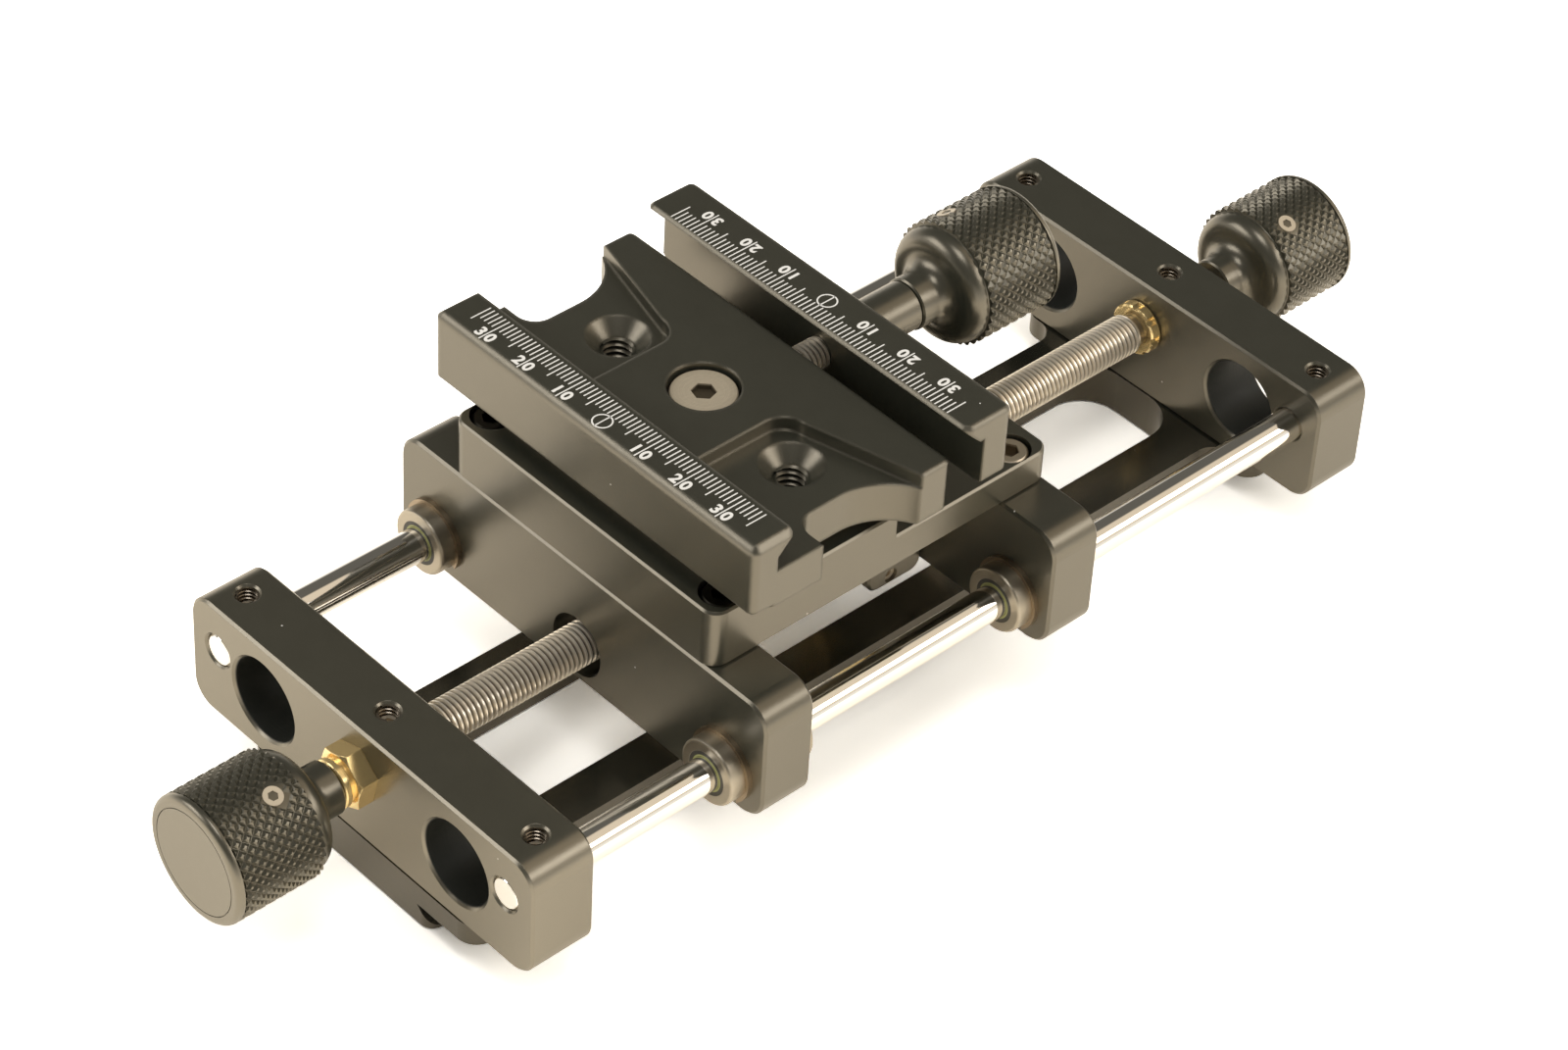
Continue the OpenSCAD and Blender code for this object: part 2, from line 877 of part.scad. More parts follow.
module clamp_riser() {
  color(black) difference() {
    translate([riser_x0 + riser_l / 2, 0, step_z + riser_h / 2]) {
      eased_prism(riser_l, 2 * riser_half, riser_h, riser_r, small);
    }
    translate([hole_x, 0, step_z - over]) cylinder(r = m5_r + screw_gap, h = riser_h + 2 * over);
    for (t = sides) {
      translate([hole_x, t * hole_y, step_z - over]) cylinder(r = tap_r + tap_ease, h = riser_h + 2 * over);
    }
  }
}

// open notch in the end of the clamp body, at its +Y end
module end_notch() {
  far = clamp_half + over;
  translate([notch_x0, notch_floor + notch_corner]) square([flare_x - notch_x0, far - notch_floor]);
  translate([notch_x0 + notch_corner, notch_floor]) {
    square([flare_x - notch_x0 - notch_corner, far - notch_floor]);
  }
  translate([notch_x0 + notch_corner, notch_floor + notch_corner]) circle(notch_corner);
  intersection() {
    translate([flare_x, notch_floor + notch_flare]) circle(notch_flare);
    translate([flare_x - lap, notch_floor]) square([notch_flare, far - notch_floor]);
  }
}

// lowered pocket between the fixed jaw and the far ridge, at the +Y end
module pocket_plan() {
  y = pocket_in + pocket_r;
  far = clamp_half + over;
  polygon([[under_x, y], [ridge_x0, y], [ridge_x1, far], [under_x, far]]);
  translate([under_x, pocket_in]) square([ridge_x0 - pocket_r - under_x, pocket_r + lap]);
  translate([ridge_x0 - pocket_r, y]) circle(pocket_r);
}

// section of the fixed jaw in X and Z
module fixed_jaw_section() {
  r = jaw_top_r;
  polygon([
    [clamp_x0, riser_z], [under_x, riser_z], [under_x, clamp_z + lip_foot], [fixed_in, jaw_z - lip_edge],
    [fixed_in, jaw_z], [clamp_x0 + r, jaw_z], [clamp_x0 + r, jaw_z - r], [clamp_x0, jaw_z - r]
  ]);
  translate([clamp_x0 + r, jaw_z - r]) circle(r);
}

module clamp_block() {
  jaw_h = jaw_z - riser_z;
  intersection() {
    rotate([90, 0, 0]) linear_extrude(2 * clamp_half, center = true) fixed_jaw_section();
    translate([clamp_x0 + fixed_w, 0, riser_z + jaw_h / 2]) {
      eased_prism(2 * fixed_w, 2 * clamp_half, jaw_h, body_corner, jaw_end_ease);
    }
  }
  difference() {
    translate([(clamp_x0 + body_inset + clamp_x1) / 2, 0, riser_z + body_h / 2]) {
      eased_prism(body_l - body_inset, 2 * clamp_half, body_h, body_corner, ease);
    }
    for (t = sides) {
      mirror([0, t < 0 ? 1 : 0, 0]) translate([0, 0, pocket_z]) linear_extrude(body_h) pocket_plan();
    }
  }
}

module clamp_body() {
  color(black) difference() {
    clamp_block();
    for (t = sides) {
      mirror([0, t < 0 ? 1 : 0, 0]) {
        translate([0, 0, riser_z - over]) linear_extrude(body_h + over + lap) end_notch();
      }
      translate([hole_x, t * hole_y, riser_z - over]) cylinder(r = tap_r, h = body_h + over);
      translate([hole_x, t * hole_y, pocket_z - sink_r + tap_r]) {
        cylinder(r1 = tap_r, r2 = sink_r + over, h = sink_r - tap_r + over);
      }
    }
    translate([0, 0, spindle_z]) rod_x(clamp_r + slide_fit, clamp_x1 - screw_in - tip_gap, clamp_x1 + over);
    translate([hole_x, 0, riser_z - over]) cylinder(r = m5_r + screw_gap, h = body_h + over);
    translate([hole_x, 0, head_seat]) cylinder(r = head_r + head_gap, h = head_h + head_down + over);
  }
}

module clamp_centre_screw() {
  tip = deck_z - centre_screw_deep;
  color(steel) translate([hole_x, 0, 0]) difference() {
    union() {
      translate([0, 0, tip]) cylinder(r = m5_r, h = head_seat - tip + lap);
      translate([0, 0, head_seat]) cylinder(r = head_r, h = head_h - head_edge);
      translate([0, 0, head_seat + head_h - head_edge]) {
        cylinder(r1 = head_r, r2 = head_r - head_edge, h = head_edge);
      }
    }
    translate([0, 0, head_seat + head_h * (1 - socket_share)]) rotate(key_turn) {
      cylinder(r = key_r, h = head_h, $fn = 6);
    }
  }
}

module moving_jaw_section() {
  lip_x = leg_x0 - lip_reach;
  under = clamp_z + lip_foot;
  polygon([
    [leg_x0, jaw_foot], [leg_x1, jaw_foot], [leg_x1, jaw_z], [lip_x, jaw_z],
    [lip_x, jaw_z - lip_edge], [lip_x + under_drop, under], [leg_x0, under]
  ]);
}

module moving_jaw() {
  w = leg_t + lip_reach;
  h = jaw_z - jaw_foot;
  color(black) difference() {
    intersection() {
      rotate([90, 0, 0]) linear_extrude(2 * clamp_half, center = true) moving_jaw_section();
      translate([leg_x1 - w / 2, 0, jaw_foot + h / 2]) eased_prism(w, 2 * clamp_half, h, jaw_r, jaw_ease);
    }
    translate([0, 0, spindle_z]) rod_x(clamp_r + slide_fit, leg_x0 - over, leg_x1 + over);
  }
}

module clamp_screw() {
  color(steel) translate([0, 0, spindle_z]) {
    eased_rod_x(clamp_r, clamp_x1 + jaw_gap - screw_in, clamp_knob_x + knob_bore_l - tip_gap, spindle_ease);
  }
}

module clamp_sleeve() {
  color(black) translate([0, 0, spindle_z]) difference() {
    eased_rod_x(sleeve_r, leg_x1, sleeve_x1, spindle_ease);
    rod_x(clamp_r + press_fit, leg_x1 - over, sleeve_x1 + over);
  }
}

module clamp_knob() {
  color(black) at_clamp_knob() knob_form(clamp_grub_turn);
}

module clamp_knob_cap() {
  color(black) at_clamp_knob() knob_cap_form();
}

module clamp_knob_screw() {
  color(steel) at_clamp_knob() knob_grub_form(clamp_grub_turn);
}

base_plate();
base_screws();
near_end_plate();
far_end_plate();
left_shaft();
right_shaft();
plate_set_screws();
near_bushing();
far_bushing();
lead_screw();
near_knob();
near_knob_cap();
near_knob_screw();
far_knob();
far_knob_cap();
far_knob_screw();
front_crossbar();
rear_crossbar();
carriage_plate();
carriage_screws();
front_left_bearing();
front_right_bearing();
rear_left_bearing();
rear_right_bearing();
bearing_seals();
snap_rings();
nut_block();
nut_block_screws();
lead_nut();
nut_lock_screw();
clamp_riser();
clamp_body();
clamp_centre_screw();
moving_jaw();
clamp_screw();
clamp_sleeve();
clamp_knob();
clamp_knob_cap();
clamp_knob_screw();
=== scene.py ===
"""Finish and fine detail of a macro focusing rail, dressed over its solids."""

import json
import math

import bpy
from bpy.props import FloatProperty, FloatVectorProperty, IntProperty, PointerProperty
from mathutils import Matrix, Vector

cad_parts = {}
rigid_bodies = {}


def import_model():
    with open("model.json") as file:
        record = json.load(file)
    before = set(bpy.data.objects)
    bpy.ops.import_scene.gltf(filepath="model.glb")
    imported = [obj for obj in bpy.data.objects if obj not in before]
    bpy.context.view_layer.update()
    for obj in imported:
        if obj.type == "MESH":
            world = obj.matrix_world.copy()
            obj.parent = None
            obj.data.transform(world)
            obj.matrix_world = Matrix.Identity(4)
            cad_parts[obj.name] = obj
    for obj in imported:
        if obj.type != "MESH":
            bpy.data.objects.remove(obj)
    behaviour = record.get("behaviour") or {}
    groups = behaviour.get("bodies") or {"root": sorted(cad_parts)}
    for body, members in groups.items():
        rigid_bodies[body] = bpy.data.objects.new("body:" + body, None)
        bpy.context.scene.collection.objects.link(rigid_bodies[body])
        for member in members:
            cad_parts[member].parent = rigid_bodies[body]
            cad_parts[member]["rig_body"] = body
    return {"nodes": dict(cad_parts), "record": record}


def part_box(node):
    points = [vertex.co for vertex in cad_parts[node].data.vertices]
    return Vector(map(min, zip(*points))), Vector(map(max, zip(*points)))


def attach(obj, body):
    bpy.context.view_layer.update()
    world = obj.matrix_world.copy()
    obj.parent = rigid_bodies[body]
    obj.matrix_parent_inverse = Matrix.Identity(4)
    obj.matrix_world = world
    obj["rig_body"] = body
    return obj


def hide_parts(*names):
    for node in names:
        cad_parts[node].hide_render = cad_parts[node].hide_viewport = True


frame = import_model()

bl_info = {
    "name": "Focusing rail dressing",
    "version": (1, 0, 0),
    "blender": (4, 5, 0),
    "location": "3D View > Sidebar > Rail",
    "description": "Threads, knurls, scales and finishes of a macro focusing rail",
    "category": "Object",
}

MM = 0.001
TURN = 2 * math.pi
TINY = 1e-9
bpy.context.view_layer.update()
BODY_OF = {o.name: o["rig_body"] for o in frame["nodes"].values()}

# Sizes of the solids that the added detail follows
LEAD_DEPTH = 0.6 * MM
CLAMP_DEPTH = 0.55 * MM
JOURNAL_R = 3.1 * MM
BROKEN_EDGE = 0.3 * MM
BORE_SIDE, BORE_HEIGHT, BORE_R = 25.5 * MM, 21.1 * MM, 8.1 * MM

# Steps round the turned meshes
LEAD_STEPS, FINE_STEPS, KNOB_STEPS = 64, 48, 144

# Colours that no setting changes
SHAFT_STEEL = (0.86, 0.84, 0.80)
FASTENER_STEEL = (0.66, 0.57, 0.43)
BEARING_STEEL = (0.42, 0.375, 0.30)
TAP_STEEL = (0.36, 0.31, 0.25)
# Painted shade in the thread roots and a painted highlight on the thread crests
THREAD_ROOT_SHADE, THREAD_CREST_HIGHLIGHT = (0.20, 0.17, 0.13), (0.95, 0.87, 0.74)
# Painted shade on the deck screws: near black under the fixed jaw, and dark down in their sockets
DECK_STEEL, DECK_SOCKET_SHADE, DECK_SHADE_BLACK = (0.80, 0.70, 0.55), (0.30, 0.25, 0.18), (0.03, 0.028, 0.022)
# The last colour here is painted shade down in the centre screw's hexagon socket
CENTRE_PALE, CENTRE_DARK, CENTRE_SOCKET_SHADE = (0.84, 0.73, 0.55), (0.40, 0.33, 0.22), (0.10, 0.08, 0.05)
SEAL_DARK = (0.055, 0.05, 0.04)
# Painted shade inside the end plates' lightening bores
BORE_SHADE_BLACK = (0.02, 0.021, 0.017)
DUST = (0.75, 0.72, 0.66)


# Settings

class RailFinish(bpy.types.PropertyGroup):
    """Colours and gloss of the rail's finishes."""

    anodised: FloatVectorProperty(
        name="Black anodise", description="Colour of the black anodised plates",
        subtype="COLOR", size=3, min=0, max=1, default=(0.026, 0.028, 0.021))
    anodised_sheen: FloatVectorProperty(
        name="Anodise sheen", description="Tint of what the anodised plates reflect",
        subtype="COLOR", size=3, min=0, max=1, default=(1.0, 0.90, 0.72))
    anodised_rough: FloatProperty(
        name="Anodise roughness", description="Roughness of the anodised plates",
        subtype="FACTOR", min=0, max=1, default=0.30)
    brass: FloatVectorProperty(
        name="Brass", description="Colour of the bushings",
        subtype="COLOR", size=3, min=0, max=1, default=(1.0, 0.77, 0.38))
    bronze: FloatVectorProperty(
        name="Ring bronze", description="Colour of the spring rings",
        subtype="COLOR", size=3, min=0, max=1, default=(0.34, 0.27, 0.19))
    seal: FloatVectorProperty(
        name="Seal", description="Colour of the bearing seals",
        subtype="COLOR", size=3, min=0, max=1, default=(0.42, 0.42, 0.16))
    marking: FloatVectorProperty(
        name="Marking", description="Colour of the scale's filled marks",
        subtype="COLOR", size=3, min=0, max=1, default=(0.88, 0.85, 0.78))


class RailDetail(bpy.types.PropertyGroup):
    """Sizes of the fine detail that the scene adds."""

    lead_pitch: FloatProperty(
        name="Lead screw pitch", description="Distance from crest to crest of the lead screw",
        subtype="DISTANCE", unit="LENGTH", min=0.5 * MM, max=3 * MM, default=25.4 / 24 * MM)
    lead_depth: FloatProperty(
        name="Lead thread depth", description="Depth of the lead screw's thread",
        subtype="DISTANCE", unit="LENGTH", min=0.1 * MM, max=1 * MM, default=LEAD_DEPTH)
    clamp_pitch: FloatProperty(
        name="Clamp screw pitch", description="Distance from crest to crest of the clamp screw",
        subtype="DISTANCE", unit="LENGTH", min=0.5 * MM, max=2 * MM, default=1 * MM)
    knurl_count: IntProperty(
        name="Knurl count", description="Diamonds round each knob", min=12, max=80, default=37)
    knurl_depth: FloatProperty(
        name="Knurl depth", description="Depth of the knurl's grooves",
        subtype="DISTANCE", unit="LENGTH", min=0.1 * MM, max=1.2 * MM, default=0.50 * MM)
    mark_width: FloatProperty(
        name="Mark width", description="Width of the scale's marks",
        subtype="DISTANCE", unit="LENGTH", min=0.1 * MM, max=0.8 * MM, default=0.25 * MM)
    mark_count: IntProperty(
        name="Marks each way", description="Millimetre marks on each side of zero",
        min=5, max=38, default=35)


# Shader wrapper

class Sock:
    """An output socket that takes part in Python arithmetic."""

    def __init__(self, tree, out):
        self.tree = tree
        self.out = out

    def node(self, kind, settings=None, **inputs):
        """Adds a node, sets it up, and feeds its inputs; returns its first output."""
        return make_node(self.tree, kind, settings, **inputs)

    def output(self, name):
        """Another output of the node that this one belongs to."""
        return Sock(self.tree, self.out.node.outputs[name])

    def _math(self, operation, a, b=0.0):
        return make_node(self.tree, "ShaderNodeMath", {"operation": operation}, i0=a, i1=b)

    def __abs__(self):
        return self._math("ABSOLUTE", self)

    def __add__(self, other):
        return self._math("ADD", self, other)

    __radd__ = __add__

    def __sub__(self, other):
        return self._math("SUBTRACT", self, other)

    def __rsub__(self, other):
        return self._math("SUBTRACT", other, self)

    def __mul__(self, other):
        return self._math("MULTIPLY", self, other)

    __rmul__ = __mul__

    def __pow__(self, other):
        return self._math("POWER", self, other)

    def __gt__(self, other):
        return self._math("GREATER_THAN", self, other)


def make_node(tree, kind, settings=None, out=0, **inputs):
    """Adds a node of a kind; i0, i1 or a socket's name with _ for spaces feeds an input."""
    node = tree.nodes.new(kind)
    for key, value in (settings or {}).items():
        setattr(node, key, value)
    for key, value in inputs.items():
        if key[0] == "i" and key[1:].isdigit():
            socket = node.inputs[int(key[1:])]
        else:
            socket = node.inputs[key.replace("_", " ")]
        if isinstance(value, Sock):
            tree.links.new(value.out, socket)
        else:
            socket.default_value = value
    return Sock(tree, node.outputs[out])


def mix_colour(tree, factor, a, b):
    """Mixes two colours by a factor; a Mix node has its colours at inputs 6 and 7 and output 2."""
    node = tree.nodes.new("ShaderNodeMix")
    node.data_type = "RGBA"
    for index, value in ((0, factor), (6, a), (7, b)):
        if isinstance(value, Sock):
            tree.links.new(value.out, node.inputs[index])
        else:
            node.inputs[index].default_value = value if index == 0 else (*value[:3], 1)
    return Sock(tree, node.outputs[2])


def object_place(tree):
    """Where a point lies in its object, which is its place in the shared frame."""
    return make_node(tree, "ShaderNodeTexCoord", out=3)


_materials = {}


def new_material(name, colour, rough, metallic, normal, **constants):
    """Makes and lists a Principled material; colour, rough and normal each build a socket."""
    material = bpy.data.materials.new(name)
    material.use_nodes = True
    tree = material.node_tree
    shader = tree.nodes["Principled BSDF"]
    place = object_place(tree)
    for socket, build in (("Base Color", colour), ("Roughness", rough), ("Normal", normal)):
        tree.links.new(build(tree, place).out, shader.inputs[socket])
    shader.inputs["Metallic"].default_value = metallic
    for socket, value in constants.items():
        shader.inputs[socket.replace("_", " ")].default_value = value
    _materials[name] = material
    return material


def noise(tree, place, scale, detail=3.0, rough=0.6, stretch=None):
    """Noise in object space, scale in grains per metre."""
    if stretch:
        place = make_node(tree, "ShaderNodeVectorMath", {"operation": "MULTIPLY"}, i0=place, i1=stretch)
    return make_node(tree, "ShaderNodeTexNoise", None,
                     Vector=place, Scale=scale, Detail=detail, Roughness=rough)


def grain_bump(scale, strength, height, stretch=None, round_edge=0.0):
    """A bump from fine noise, over edges rounded by a radius where one is given."""
    def build(tree, place):
        grain = noise(tree, place, scale, 4.0, 0.65, stretch)
        over = {}
        if round_edge:
            over["Normal"] = make_node(tree, "ShaderNodeBevel", {"samples": 4}, Radius=round_edge)
        return make_node(tree, "ShaderNodeBump", None,
                         Strength=strength, Distance=height, Height=grain, **over)
    return build


def spread_about(colour, spread):
    """The darker and the lighter end of a colour that drifts by a share."""
    return [c * (1 - spread) for c in colour], [c * (1 + spread) for c in colour]


def varied(colour, spread, scale):
    """A colour that drifts a little with broad and fine noise."""
    def build(tree, place):
        broad = noise(tree, place, scale, 3.0)
        fine = noise(tree, place, scale * 14, 2.0)
        return mix_colour(tree, broad * 0.7 + fine * 0.3, *spread_about(colour, spread))
    return build


def varied_rough(base, spread, scale, stretch=None):
    """A roughness that drifts about its base."""
    def build(tree, place):
        return noise(tree, place, scale, 4.0, 0.6, stretch) * (2 * spread) + (base - spread)
    return build


def ramp(value, low, high):
    """Nothing below one value and one above another."""
    return value.node("ShaderNodeMapRange", None, Value=value, From_Min=low, From_Max=high)


def axes_of(tree, place):
    """The three coordinates of a place."""
    split = make_node(tree, "ShaderNodeSeparateXYZ", None, Vector=place)
    return [split.output(axis) for axis in "XYZ"]


def from_axis(tree, place, side, height):
    """Distance from an axis along X at a height, or from a pair of them at either side."""
    _, y, z = axes_of(tree, place)
    across = abs(y) - side
    up = z - height
    return (across * across + up * up) ** 0.5


def banded(axis, inner, outer, low, high):
    """One colour inside a radius about an axis along X and another outside a larger one."""
    def build(tree, place):
        share = ramp(from_axis(tree, place, *axis), inner, outer)
        inside, outside = (varied(c, spread=0.08, scale=500.0)(tree, place) for c in (low, high))
        return mix_colour(tree, share, inside, outside)
    return build


def dusted(colour, spread, scale):
    """An anodised colour with faint clouding and sparse pale specks."""
    speck_cells, speck_r, speck_share = 420.0, 0.07, 0.02

    def build(tree, place):
        broad = noise(tree, place, scale, 3.0)
        fine = noise(tree, place, scale * 20, 2.0, 0.7)
        under = mix_colour(tree, broad * 0.45 + fine * 0.55, *spread_about(colour, spread))
        cell = make_node(tree, "ShaderNodeTexVoronoi", {"feature": "F1"}, Vector=place, Scale=speck_cells)
        pick = make_node(tree, "ShaderNodeTexWhiteNoise", {"noise_dimensions": "3D"},
                         Vector=cell.output("Position"))
        speck = (speck_r - cell > 0) * (pick > 1 - speck_share)
        return mix_colour(tree, speck, under, DUST)
    return build


def turned_colour(tree, place):
    """The clamp's centre screw: rings and scratches round its axis, with painted shade dark down in its
    hexagon.
    """
    low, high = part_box("clamp_centre_screw")
    x, y, z = axes_of(tree, place)
    off = x - (low.x + high.x) / 2
    reach = (off * off + y * y) ** 0.5
    turned = make_node(tree, "ShaderNodeCombineXYZ", None, X=reach)
    rings = noise(tree, turned, 5200.0, 2.0)
    scratches = noise(tree, place, 900.0, 5.0, 0.7, (1.0, 3.0, 1.0))
    face = mix_colour(tree, rings * 0.6 + scratches * 0.4, CENTRE_DARK, CENTRE_PALE)
    # painted shade down in the hexagon socket
    out_of_socket = ramp(z, high.z - 0.5 * MM, high.z - 0.1 * MM)
    return mix_colour(tree, out_of_socket, CENTRE_SOCKET_SHADE, face)


def screw_colour(tree, place):
    """The deck screws: painted shade makes them near black in front, under the fixed jaw, and bare steel
    behind, in lower seats, with painted shade down in their sockets.
    """
    seat_step = 5.2 * MM
    front_x, rear_x = -0.03, -0.02
    x, _, z = axes_of(tree, place)
    rear_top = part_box("carriage_screws")[1].z - seat_step
    out_of_socket = ramp(z, rear_top - 0.6 * MM, rear_top - 0.2 * MM)
    bare = varied(DECK_STEEL, spread=0.07, scale=700.0)(tree, place)
    # painted shade down in the screw sockets
    steel = mix_colour(tree, out_of_socket, DECK_SOCKET_SHADE, bare)
    # painted shade: the front screws lie in shade under the fixed jaw
    shaded_front = varied(DECK_SHADE_BLACK, spread=0.1, scale=700.0)(tree, place)
    return mix_colour(tree, ramp(x, front_x, rear_x), shaded_front, steel)


def dull_bores(material):
    """Mixes a dull, darker black into the end plates' lightening bores: painted shade in the recess, over
    rough-turned rings.
    """
    tree = material.node_tree
    out = tree.nodes["Material Output"].inputs["Surface"]
    bright = Sock(tree, out.links[0].from_socket)
    place = object_place(tree)
    rings = noise(tree, place, 300.0, 2.0, 0.5, (9, 0.2, 0.2))
    bump = make_node(tree, "ShaderNodeBump", None, Strength=0.5, Distance=0.05 * MM, Height=rings)
    dull = make_node(tree, "ShaderNodeBsdfPrincipled", None,
                     Base_Color=varied(BORE_SHADE_BLACK, spread=0.15, scale=200.0)(tree, place),
                     Roughness=varied_rough(0.5, spread=0.06, scale=400.0)(tree, place),
                     Normal=bump, IOR=1.35)
    # painted shade: the bores' walls turn darker and duller than the faces round them
    from_bore = from_axis(tree, place, BORE_SIDE, BORE_HEIGHT)
    inside = 1 - ramp(from_bore, BORE_R + 0.05 * MM, BORE_R + 0.25 * MM)
    mixed = make_node(tree, "ShaderNodeMixShader", None, i0=inside, i1=bright, i2=dull)
    tree.links.new(mixed.out, out)


def anodised(name, finish, gloss, round_edge=0.14 * MM):
    """Bead-blasted black anodise: clouded, faintly dusty, with a fine grain and softened edges."""
    return new_material(
        name, dusted(tuple(finish.anodised), spread=0.35, scale=130.0),
        varied_rough(finish.anodised_rough, spread=0.04, scale=260.0), 0.0,
        grain_bump(2600.0, strength=0.30, height=0.03 * MM, round_edge=round_edge),
        IOR=gloss, Specular_Tint=(*finish.anodised_sheen, 1))


def threaded_steel(name, node, depth):
    """Rolled thread steel, with painted shade dark in its roots and a painted highlight bright on its
    crests.
    """
    low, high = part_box(node)
    crest = (high.z - low.z) / 2
    axis = (0, (high.z + low.z) / 2)
    new_material(
        # painted shade in the roots, painted highlight on the crests
        name, banded(axis, crest - depth, crest - 0.2 * depth, THREAD_ROOT_SHADE, THREAD_CREST_HIGHLIGHT),
        varied_rough(0.32, spread=0.04, scale=900.0), 0.75,
        grain_bump(3200.0, strength=0.03, height=0.01 * MM))


def build_materials(finish):
    """All the finishes: one for each of the record's slots, and a few for single pieces and added detail."""
    black = tuple(finish.anodised)
    sheen = (*finish.anodised_sheen, 1)
    anodised("black_anodised", finish, gloss=2.3)
    # Painted light: the clamp, near plate and far plate are lit and shaded copies of the one anodise, with
    # more gloss on the near plate and a little less on the far plate and the clamp
    anodised("clamp_black", finish, gloss=2.25, round_edge=0.9 * MM)
    dull_bores(anodised("near_plate_lit_black", finish, gloss=2.7))
    dull_bores(anodised("far_plate_shaded_black", finish, gloss=2.2))
    new_material(
        "polished_shaft", varied(SHAFT_STEEL, spread=0.03, scale=40.0),
        varied_rough(0.07, spread=0.03, scale=700.0, stretch=(1, 14, 14)), 1.0,
        grain_bump(2600.0, strength=0.04, height=0.01 * MM, stretch=(0.05, 1, 1)))
    new_material(
        "base_black", dusted(tuple(c * 0.5 for c in black), spread=0.10, scale=90.0),
        varied_rough(0.24, spread=0.04, scale=260.0), 0.0,
        grain_bump(9000.0, strength=0.06, height=0.02 * MM, round_edge=0.14 * MM),
        IOR=1.85, Specular_Tint=sheen)
    new_material(
        "deck_screw", screw_colour, varied_rough(0.42, spread=0.06, scale=1800.0), 1.0,
        grain_bump(4800.0, strength=0.10, height=0.02 * MM))
    threaded_steel("screw_steel", "lead_screw", LEAD_DEPTH)
    threaded_steel("clamp_steel", "clamp_screw", CLAMP_DEPTH)
    new_material(
        "fastener_steel", varied(FASTENER_STEEL, spread=0.07, scale=700.0),
        varied_rough(0.42, spread=0.06, scale=1800.0), 0.5,
        grain_bump(4800.0, strength=0.12, height=0.02 * MM))
    new_material(
        "centre_steel", turned_colour, varied_rough(0.40, spread=0.08, scale=1800.0), 0.5,
        grain_bump(4800.0, strength=0.12, height=0.02 * MM))
    new_material(
        "bright_brass", varied(tuple(finish.brass), spread=0.05, scale=300.0),
        varied_rough(0.22, spread=0.05, scale=900.0), 0.85,
        grain_bump(5200.0, strength=0.05, height=0.01 * MM, round_edge=0.2 * MM))
    new_material(
        "bronze_ring", varied(tuple(finish.bronze), spread=0.10, scale=600.0),
        varied_rough(0.36, spread=0.06, scale=900.0), 1.0,
        grain_bump(5200.0, strength=0.10, height=0.02 * MM))
    low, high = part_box("left_shaft")
    shaft_axis = ((low.y + high.y) / 2, (low.z + high.z) / 2)
    new_material(
        "seal_lime", banded(shaft_axis, 3.45 * MM, 3.6 * MM, tuple(finish.seal), SEAL_DARK),
        varied_rough(0.5, spread=0.08, scale=900.0), 0.0,
        grain_bump(3800.0, strength=0.15, height=0.03 * MM))
    new_material(
        "bearing_steel", varied(BEARING_STEEL, spread=0.06, scale=300.0),
        varied_rough(0.40, spread=0.05, scale=900.0), 1.0,
        grain_bump(4200.0, strength=0.05, height=0.01 * MM, round_edge=0.15 * MM))
    new_material(
        "knob_black", dusted(black, spread=0.12, scale=160.0),
        varied_rough(0.30, spread=0.04, scale=400.0), 0.0,
        grain_bump(7000.0, strength=0.05, height=0.02 * MM), IOR=2.3, Specular_Tint=sheen)
    new_material(
        "knob_rim", dusted(black, spread=0.10, scale=160.0),
        varied_rough(0.30, spread=0.04, scale=700.0), 0.0,
        grain_bump(7000.0, strength=0.08, height=0.02 * MM, round_edge=0.1 * MM),
        IOR=2.5, Specular_Tint=sheen)
    new_material(
        "scale_marking", varied(tuple(finish.marking), spread=0.04, scale=900.0),
        varied_rough(0.6, spread=0.05, scale=1200.0), 0.0,
        grain_bump(6000.0, strength=0.12, height=0.02 * MM))
    new_material(
        "tapped_thread", varied(TAP_STEEL, spread=0.12, scale=900.0),
        varied_rough(0.24, spread=0.06, scale=1500.0), 1.0,
        grain_bump(5200.0, strength=0.06, height=0.01 * MM))


# Mesh helpers

def piece(name, verts, faces, material, body, smooth_angle=None, replaces=()):
    """A finished mesh piece, riding on a body; its edges sharper than an angle stay sharp."""
    mesh = bpy.data.meshes.new(name)
    mesh.from_pydata([tuple(v) for v in verts], [], faces)
    mesh.validate()
    mesh.update()
    obj = bpy.data.objects.new(name, mesh)
    bpy.context.scene.collection.objects.link(obj)
    mesh.materials.append(_materials[material])
    if smooth_angle is not None:
        mesh.set_sharp_from_angle(angle=math.radians(smooth_angle))
        for polygon in mesh.polygons:
            polygon.use_smooth = True
    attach(obj, body)
    if replaces:
        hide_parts(*replaces)


def along_x(x, y, z, forward=True):
    """Takes a local Z axis onto +X, or -X, at a place."""
    turn = Matrix.Rotation(math.pi / 2 if forward else -math.pi / 2, 4, "Y")
    return Matrix.Translation((x, y, z)) @ turn


def placed(part, matrix):
    """A part, as points and faces, carried by a matrix."""
    verts, faces = part
    return [matrix @ Vector(v) for v in verts], faces


def revolve(outline, steps, closed=False):
    """Turns [radius, height] points about Z; a point of no radius becomes one vertex."""
    verts, rings, faces = [], [], []
    for r, h in outline:
        if r < TINY:
            rings.append([len(verts)] * steps)
            verts.append((0, 0, h))
            continue
        rings.append(list(range(len(verts), len(verts) + steps)))
        verts += [(r * math.cos(TURN * k / steps), r * math.sin(TURN * k / steps), h) for k in range(steps)]
    pairs = list(zip(rings, rings[1:])) + ([(rings[-1], rings[0])] if closed else [])
    for low, high in pairs:
        for k in range(steps):
            j = (k + 1) % steps
            face = [low[k], low[j], high[j], high[k]]
            clean = [v for i, v in enumerate(face) if v not in face[:i]]
            if len(clean) > 2:
                faces.append(clean)
    return verts, faces


